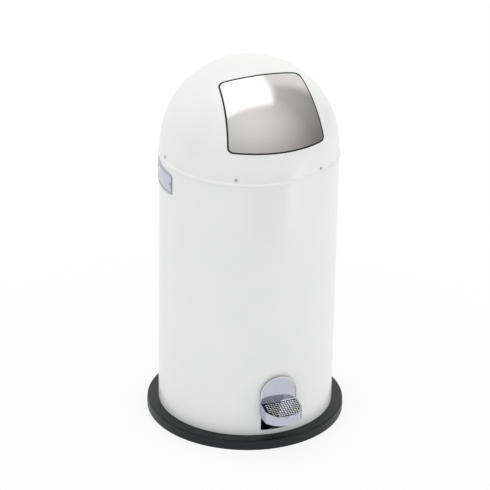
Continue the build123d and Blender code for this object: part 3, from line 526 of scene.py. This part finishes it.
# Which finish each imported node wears
node_finishes = {
    powder_coat: ("body_shell", "body_foot", "slot_sill", "hood_shell"),
    rubber: ("base_ring", "lever_rest", "flap_buffers", "bail_grip"),
    stainless: ("flap_panel", "flap_arms", "flap_tabs", "pedal_plate_rim"),
    chrome: ("pedal_plate", "pedal_tread"),
    chromed_studs: ("tread_pad",),
    bare_rivets: ("hood_rivets",),
    galvanised: ("floor_plate", "liner_bucket", "liner_seat_ring", "hood_collar", "bail_ears"),
    zinc: (
        "rod_guide_bracket",
        "pedal_bracket",
        "pedal_axle",
        "pedal_axle_clips",
        "spring_seat",
        "pedal_lever",
        "lift_rod",
        "rod_foot",
        "rod_cap",
        "bail",
        "name_plate_rivets",
        "flap_brackets",
        "guide_arm",
        "push_rod",
        "push_foot",
        "flap_axle",
        "flap_axle_clips",
        "flap_crank",
    ),
    spring_wire: ("return_spring", "flap_spring"),
    aluminium: ("name_plate",),
    nylon: ("upper_rod_bush", "lower_rod_bush"),
}
for finish, names in node_finishes.items():
    for name in names:
        mesh = nodes[name].data
        mesh.materials.clear()
        mesh.materials.append(finish)


# Modelled pieces
def start_piece():
    """Leaves nothing selected, so that an operator acts on the new primitive alone."""
    for other in bpy.context.selected_objects:
        other.select_set(False)
    bpy.context.view_layer.objects.active = None


def pick_faces(shape, test):
    """Selects the faces whose centre and normal pass the test, in edit mode."""
    bpy.ops.object.mode_set(mode="EDIT")
    bpy.ops.mesh.select_mode(type="FACE")
    bpy.ops.mesh.select_all(action="DESELECT")
    mesh = bmesh.from_edit_mesh(shape.data)
    for face in mesh.faces:
        face.select_set(test(face.calc_center_median(), face.normal))
    bmesh.update_edit_mesh(shape.data)


def finish_piece(shape, name, body, finish):
    """Settles the piece at the origin, names it, and hangs it on its body."""
    bpy.ops.object.mode_set(mode="OBJECT")
    bpy.ops.object.transform_apply(location=True, rotation=True, scale=True)
    shape.name = name
    shape.data.name = name
    shape.data.materials.clear()
    shape.data.materials.append(finish)
    bpy.ops.object.shade_smooth_by_angle(angle=math.radians(35))
    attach(shape, body)


def add_pedal_fold():
    """The bright weld along the fold between the pedal's upright plate and its tread."""
    start_piece()
    bpy.ops.mesh.primitive_torus_add(
        major_radius=PEDAL_PLATE_OUTER + FOLD_PROUD,
        minor_radius=FOLD_RADIUS,
        major_segments=540,
        minor_segments=12,
        location=(0, 0, TREAD_BACK_Z + FOLD_RISE),
    )
    fold = bpy.context.active_object
    half_width = PEDAL_HALF_WIDTH - FOLD_END_INSET
    pick_faces(fold, lambda centre, normal: centre.y > 0 or abs(centre.x) > half_width)
    bpy.ops.mesh.delete(type="FACE")
    bpy.ops.mesh.select_mode(type="EDGE")
    bpy.ops.mesh.select_all(action="DESELECT")
    bpy.ops.mesh.select_non_manifold()
    bpy.ops.mesh.edge_face_add()
    bpy.ops.mesh.select_all(action="SELECT")
    bpy.ops.mesh.normals_make_consistent(inside=False)
    finish_piece(fold, "pedal_fold_weld", "pedal", chrome)


def add_name_plate_border():
    """The plate's rolled border, raised round its bare face."""
    start_piece()
    bpy.ops.mesh.primitive_cylinder_add(
        vertices=720,
        radius=BODY_RADIUS + BORDER_PROUD,
        depth=BORDER_HEIGHT,
        end_fill_type="NOTHING",
        location=(0, 0, NAME_PLATE_MIDDLE_Z),
    )
    border = bpy.context.active_object
    middle = Vector((-math.sin(NAME_PLATE_TURN), -math.cos(NAME_PLATE_TURN), 0))
    reach = math.cos(NAME_PLATE_HALF_TURN - BORDER_END_TURN)
    pick_faces(border, lambda centre, normal: normal.dot(middle) < reach)
    bpy.ops.mesh.delete(type="FACE")
    bpy.ops.mesh.select_all(action="SELECT")
    bpy.ops.mesh.inset(thickness=BORDER_WIDTH, use_even_offset=True)
    bpy.ops.mesh.delete(type="FACE")
    bpy.ops.mesh.select_all(action="SELECT")
    bpy.ops.mesh.extrude_region_shrink_fatten(TRANSFORM_OT_shrink_fatten={"value": BORDER_RISE})
    finish_piece(border, "name_plate_border", "bin", aluminium)


def add_body_seam():
    """The body's closing weld up the back, ground nearly flush and coated over."""
    start_piece()
    low = RING_HEIGHT
    high = HOOD_EDGE_Z - SEAM_TOP_GAP
    bpy.ops.mesh.primitive_cylinder_add(
        vertices=24,
        radius=SEAM_RADIUS,
        depth=high - low,
        location=(0, BODY_RADIUS - SEAM_INSET, (low + high) / 2),
    )
    seam = bpy.context.active_object
    pick_faces(seam, lambda centre, normal: abs(normal.z) > 0.9)
    bpy.ops.mesh.inset(thickness=SEAM_END_WIDTH)
    finish_piece(seam, "body_seam_weld", "bin", powder_coat)


def copy_node(name):
    """A loose copy of a CAD node with a mesh of its own, to model a new piece from."""
    start_piece()
    shape = nodes[name].copy()
    shape.data = shape.data.copy()
    bpy.context.scene.collection.objects.link(shape)
    shape.parent = None
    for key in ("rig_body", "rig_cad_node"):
        del shape[key]
    bpy.context.view_layer.objects.active = shape
    shape.select_set(True)
    return shape


def add_return_spring():
    """The wound return spring, which the lever presses shorter as the pedal goes down."""
    spring = copy_node("return_spring")
    finish_piece(spring, "return_spring_coil", "bin", spring_wire)
    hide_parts("return_spring")
    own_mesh(spring)


def add_flap_gap_shade_strip():
    """A black strip in the rubber finish round the flap's turned-in edge: painted shade, standing in for
    the shadow in the flap's gap.
    """
    shade_strip = copy_node("flap_panel")
    outwards = Vector((0, -math.cos(FLAP_TILT), math.sin(FLAP_TILT)))
    dome = Vector((0, 0, DOME_CENTRE_Z))
    bpy.ops.object.mode_set(mode="EDIT")
    bpy.ops.mesh.select_all(action="SELECT")
    bpy.ops.mesh.remove_doubles(threshold=0.000001)

    def is_outer_rim(centre, normal):
        away = centre - dome
        away -= outwards * away.dot(outwards)
        return abs(normal.dot(outwards)) < 0.35 and normal.dot(away.normalized()) > 0.5

    pick_faces(shade_strip, lambda centre, normal: not is_outer_rim(centre, normal))
    bpy.ops.mesh.delete(type="FACE")
    bpy.ops.object.mode_set(mode="OBJECT")
    wall = shade_strip.modifiers.new("wall", "SOLIDIFY")
    wall.thickness = GAP_SHADE_STRIP_THICKNESS
    wall.offset = 1.0
    bpy.ops.object.modifier_apply(modifier=wall.name)
    # this black strip is painted shade for the flap's gap
    finish_piece(shade_strip, "flap_gap_painted_shade", "flap", rubber)


def add_liner_beads():
    """Stiffening beads rolled round the liner's wall."""
    for number, share in enumerate(BEAD_SHARES, start=1):
        start_piece()
        height = LINER_BOTTOM_Z + (LINER_TOP_Z - LINER_BOTTOM_Z) * share
        radius = LINER_BOTTOM_RADIUS + (LINER_TOP_RADIUS - LINER_BOTTOM_RADIUS) * share
        bpy.ops.mesh.primitive_torus_add(
            major_radius=radius,
            minor_radius=BEAD_RADIUS,
            major_segments=180,
            minor_segments=16,
            location=(0, 0, height),
        )
        bead = bpy.context.active_object
        pick_faces(bead, lambda centre, normal: True)
        bpy.ops.transform.resize(value=(1, 1, BEAD_STRETCH), center_override=(0, 0, height))
        finish_piece(bead, f"liner_bead_{number}", "liner", galvanised)


def add_ring_lip():
    """The mould's parting line round the outside of the floor ring."""
    start_piece()
    bpy.ops.mesh.primitive_torus_add(
        major_radius=RING_RADIUS - LIP_INSET,
        minor_radius=LIP_RADIUS,
        major_segments=256,
        minor_segments=8,
        location=(0, 0, LIP_Z),
    )
    lip = bpy.context.active_object
    pick_faces(lip, lambda centre, normal: True)
    bpy.ops.transform.resize(value=(1, 1, LIP_STRETCH), center_override=(0, 0, LIP_Z))
    finish_piece(lip, "ring_parting_line", "bin", rubber)


add_return_spring()
add_pedal_fold()
add_name_plate_border()
add_flap_gap_shade_strip()
add_body_seam()
add_liner_beads()
add_ring_lip()


# Studio
def seen_rays(tree):
    """One for rays from the camera, or that metal and glass send on, and zero for the rest."""
    ray = add_node(tree, "ShaderNodeLightPath", {})
    shiny = add_node(
        tree,
        "ShaderNodeMath",
        {"operation": "MAXIMUM"},
        {0: ray.outputs["Is Camera Ray"], 1: ray.outputs["Is Glossy Ray"]},
    )
    seen = add_node(
        tree,
        "ShaderNodeMath",
        {"operation": "MAXIMUM"},
        {0: shiny.outputs[0], 1: ray.outputs["Is Transmission Ray"]},
    )
    return seen.outputs[0]


def show_in_gloss_only(wall):
    """Hides a wall or card of the studio from all but reflections."""
    wall.visible_camera = False
    wall.visible_diffuse = False
    wall.visible_shadow = False
    wall.visible_transmission = False


def add_room():
    """Studio walls, brighter high up, at the front and far behind, that only gloss shows."""
    start_piece()
    bpy.ops.mesh.primitive_uv_sphere_add(
        segments=64, ring_count=48, radius=ROOM_RADIUS, location=(0, 0, ROOM_CENTRE_Z)
    )
    room = bpy.context.active_object
    ceiling = ROOM_RADIUS * math.sin(ROOM_TOP)
    pick_faces(room, lambda middle, normal: middle.z > ceiling or middle.z < ROOM_LOWEST_Z)
    bpy.ops.mesh.delete(type="FACE")
    bpy.ops.object.mode_set(mode="OBJECT")
    room.name = "studio_room"
    paint = bpy.data.materials.new("studio_wall_paint")
    paint.use_nodes = True
    tree = paint.node_tree
    tree.nodes.clear()
    place = add_node(tree, "ShaderNodeTexCoord", {}).outputs["Object"]
    rise = add_node(tree, "ShaderNodeSeparateXYZ", {}, {0: place}).outputs["Z"]
    low_level, high_level = ROOM_LOW_AND_HIGH_LEVEL
    climb = add_node(
        tree,
        "ShaderNodeMapRange",
        {"From Min": 0.0, "From Max": ROOM_RADIUS, "To Min": low_level, "To Max": high_level},
        {"Value": rise},
    )
    bright = Vector((math.sin(ROOM_BRIGHT_SIDE), -math.cos(ROOM_BRIGHT_SIDE), 0))
    side = add_node(
        tree, "ShaderNodeVectorMath", {"operation": "DOT_PRODUCT", 1: bright}, {0: place}
    )
    dark_level, bright_level = ROOM_DARK_AND_BRIGHT_SIDE_LEVEL
    turn = add_node(
        tree,
        "ShaderNodeMapRange",
        {"From Min": 0.0, "From Max": ROOM_RADIUS, "To Min": dark_level, "To Max": bright_level},
        {"Value": side.outputs["Value"]},
    )
    level = add_node(
        tree, "ShaderNodeMath", {"operation": "MULTIPLY"}, {0: climb.outputs[0], 1: turn.outputs[0]}
    )
    behind = add_node(
        tree, "ShaderNodeVectorMath", {"operation": "DOT_PRODUCT", 1: BACKDROP_DIRECTION}, {0: place}
    )
    start, end = BACKDROP_START_AND_END
    backdrop = add_node(
        tree,
        "ShaderNodeMapRange",
        {"From Min": start, "From Max": end, "To Min": 0.0, "To Max": BACKDROP_LEVEL},
        {"Value": behind.outputs["Value"]},
    )
    lightest = add_node(
        tree, "ShaderNodeMath", {"operation": "MAXIMUM"}, {0: level.outputs[0], 1: backdrop.outputs[0]}
    )
    glow = add_node(
        tree, "ShaderNodeEmission", {"Color": linear("#FFFCFB")}, {"Strength": lightest.outputs[0]}
    )
    add_node(tree, "ShaderNodeOutputMaterial", {}, {"Surface": glow.outputs[0]})
    room.data.materials.append(paint)
    show_in_gloss_only(room)


def add_floor():
    """A plain pale floor, white away from the part and clear from below."""
    start_piece()
    bpy.ops.mesh.primitive_circle_add(
        vertices=96, radius=FLOOR_RADIUS, fill_type="NGON", location=(0, 0, 0)
    )
    floor = bpy.context.active_object
    floor.name = "studio_floor"
    paint = bpy.data.materials.new("matt_floor_paint")
    paint.use_nodes = True
    tree = paint.node_tree
    tree.nodes.clear()
    matt = add_node(tree, "ShaderNodeBsdfDiffuse", {"Color": linear("#F4F4F5")})
    white = add_node(tree, "ShaderNodeEmission", {"Color": (1, 1, 1, 1), "Strength": 1.0})
    spot = add_node(tree, "ShaderNodeTexCoord", {})
    distance = add_node(
        tree, "ShaderNodeVectorMath", {"operation": "LENGTH"}, {0: spot.outputs["Object"]}
    )
    start, end = FLOOR_FADE_START_AND_END
    fade = add_node(
        tree,
        "ShaderNodeMapRange",
        {"From Min": start, "From Max": end, "To Min": FLOOR_NEAR_WHITENESS, "To Max": 1.0},
        {"Value": distance.outputs["Value"]},
    )
    seen = add_node(
        tree, "ShaderNodeMath", {"operation": "MULTIPLY"}, {0: seen_rays(tree), 1: fade.outputs[0]}
    )
    paper = add_node(
        tree, "ShaderNodeMixShader", {}, {0: seen.outputs[0], 1: matt.outputs[0], 2: white.outputs[0]}
    )
    clear = add_node(tree, "ShaderNodeBsdfTransparent", {})
    side = add_node(tree, "ShaderNodeNewGeometry", {})
    both = add_node(
        tree,
        "ShaderNodeMixShader",
        {},
        {0: side.outputs["Backfacing"], 1: paper.outputs[0], 2: clear.outputs[0]},
    )
    add_node(tree, "ShaderNodeOutputMaterial", {}, {"Surface": both.outputs[0]})
    floor.data.materials.append(paint)


def add_card(name, place, aim, width, height, glow):
    """A flat studio card that only gloss shows: nearly black at a low glow, white from 1 up."""
    start_piece()
    bpy.ops.mesh.primitive_plane_add(size=1.0, location=place)
    card = bpy.context.active_object
    card.name = name
    card.scale = (width, height, 1.0)
    card.rotation_euler = (Vector(aim) - Vector(place)).to_track_quat("Z", "Y").to_euler()
    paint = bpy.data.materials.new(name)
    paint.use_nodes = True
    tree = paint.node_tree
    tree.nodes.clear()
    shine = add_node(tree, "ShaderNodeEmission", {"Color": (1, 1, 1, 1), "Strength": glow})
    add_node(tree, "ShaderNodeOutputMaterial", {}, {"Surface": shine.outputs[0]})
    card.data.materials.append(paint)
    show_in_gloss_only(card)


def add_softbox(name, place, aim, width, height, watts):
    """A soft rectangular lamp that faces its aim."""
    lamp = bpy.data.lights.new(name, "AREA")
    lamp.shape = "RECTANGLE"
    lamp.size = width
    lamp.size_y = height
    lamp.energy = watts
    box = bpy.data.objects.new(name, lamp)
    bpy.context.scene.collection.objects.link(box)
    box.location = place
    box.rotation_euler = (Vector(aim) - Vector(place)).to_track_quat("-Z", "Y").to_euler()
    return box


def add_world(level):
    """White for what the camera and the metal see, and soft light from all round for the rest."""
    world = bpy.data.worlds.new("studio_world")
    bpy.context.scene.world = world
    world.use_nodes = True
    tree = world.node_tree
    tree.nodes.clear()
    soft = add_node(tree, "ShaderNodeBackground", {"Color": (1, 1, 1, 1), "Strength": level})
    white = add_node(tree, "ShaderNodeBackground", {"Color": (1, 1, 1, 1), "Strength": 1.0})
    both = add_node(
        tree, "ShaderNodeMixShader", {}, {0: seen_rays(tree), 1: soft.outputs[0], 2: white.outputs[0]}
    )
    add_node(tree, "ShaderNodeOutputWorld", {}, {"Surface": both.outputs[0]})


add_floor()
add_room()
add_world(WORLD_LEVEL)
overhead_aim = (OVERHEAD_X, OVERHEAD_Y, OVERHEAD_AIM_Z)
add_card("overhead_diffuser", (OVERHEAD_X, OVERHEAD_Y, 2.75), overhead_aim, *OVERHEAD_SIZE, 1.05)
for card_name, middle_x, card_width, card_glow in (
    ("pedal_flag", -0.017, 0.366, 0.02),
    ("pedal_reflector", 0.283, 0.234, 2.6),
):
    add_card(
        card_name,
        (middle_x, PEDAL_CARD_Y, PEDAL_CARD_Z),
        (middle_x, *PEDAL_CARD_AIM),
        card_width,
        PEDAL_CARD_HEIGHT,
        card_glow,
    )
add_softbox("overhead_softbox", (OVERHEAD_X, OVERHEAD_Y, 2.7), overhead_aim, *OVERHEAD_SIZE, 8.5)
right_softbox = add_softbox("right_softbox", (3.2, -0.4, 1.3), (0, 0, 0.4), 2.2, 2.0, 8.0)
right_softbox.visible_glossy = False
